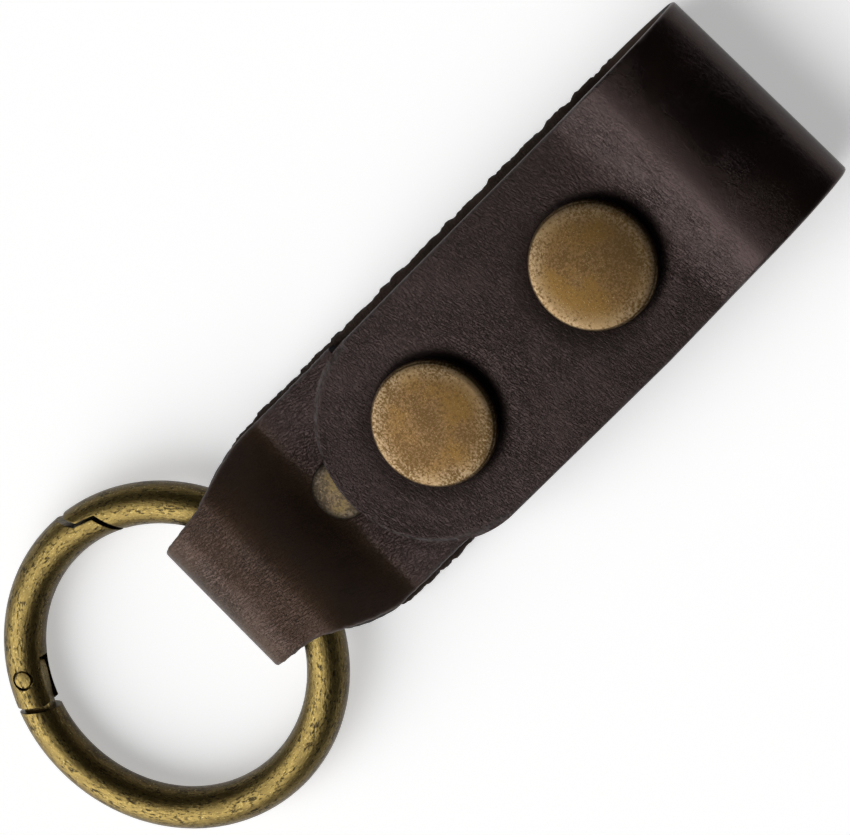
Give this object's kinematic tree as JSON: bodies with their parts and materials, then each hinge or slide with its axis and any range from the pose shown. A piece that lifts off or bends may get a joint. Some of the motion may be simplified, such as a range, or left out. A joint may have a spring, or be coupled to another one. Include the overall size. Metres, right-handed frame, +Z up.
{
  "type": "leather keychain",
  "caption": "Leather belt-loop key holder: a folded strap closed by snap fasteners, with a riveted fold holding a round spring-gate ring.",
  "frame": {"origin": "middle of the bounding box at its base, the surface the keychain lies on", "axes": "+Y along the strap from the belt-loop fold to the ring, +Z up through the snap caps, +X across the strap to the gate's side"},
  "size_m": [0.0426, 0.1192, 0.0128],
  "materials": {
    "leather": "waxed dark brown leather with fine creases",
    "antique_brass": "satin antique brass with dark patina",
    "dark_brass": "dark patinated brass",
    "spring_steel": "drawn spring wire"
  },
  "bodies": {
    "strap": {"strap_back": "leather", "belt_loop_fold": "leather", "ring_wrap": "leather", "snap_stud_loop": "dark_brass", "snap_post_loop": "antique_brass", "snap_stud_end": "dark_brass", "snap_post_end": "antique_brass", "rivet_cap": "antique_brass", "rivet_post": "dark_brass"},
    "flap": {"front_flap": "leather", "snap_cap_loop": "antique_brass", "snap_socket_loop": "dark_brass", "snap_spring_loop": "spring_steel", "snap_cap_end": "antique_brass", "snap_socket_end": "dark_brass", "snap_spring_end": "spring_steel"},
    "ring": {"ring_body": "antique_brass", "gate_hinge_pin": "dark_brass"},
    "gate": {"gate": "antique_brass", "gate_spring": "spring_steel"},
    "follower": {"spring_follower": "spring_steel"}
  },
  "joints": [
    {"name": "flap_open", "type": "hinge", "parent": "strap", "child": "flap", "pos_m": [0, -0.057, 0.00637], "axis": [1, 0, 0], "range_deg": [0, 120], "deforming": ["belt_loop_fold", "snap_spring_loop", "snap_spring_end"]},
    {"name": "ring_swing", "type": "hinge", "parent": "strap", "child": "ring", "pos_m": [0, 0.0212, 0.0052], "axis": [1, 0, 0], "range_deg": [-70, 80], "deforming": ["ring_wrap"]},
    {"name": "gate_open", "type": "hinge", "parent": "ring", "child": "gate", "pos_m": [0.01059, 0.05383, 0.00275], "axis": [0, -0.075, -0.9972], "range_deg": [0, 25], "stiffness_Nm_per_rad": 0.02, "springref_deg": -17.19, "deforming": ["gate_spring"]},
    {"name": "follower_slide", "type": "slide", "parent": "gate", "child": "follower", "axis": [0.6932, -0.7187, 0.054], "range_m": [0, 0.0005]}
  ],
  "couplings": [
    {"joint": "follower_slide", "follows": "gate_open", "m_per_rad": 0.00102}
  ]
}
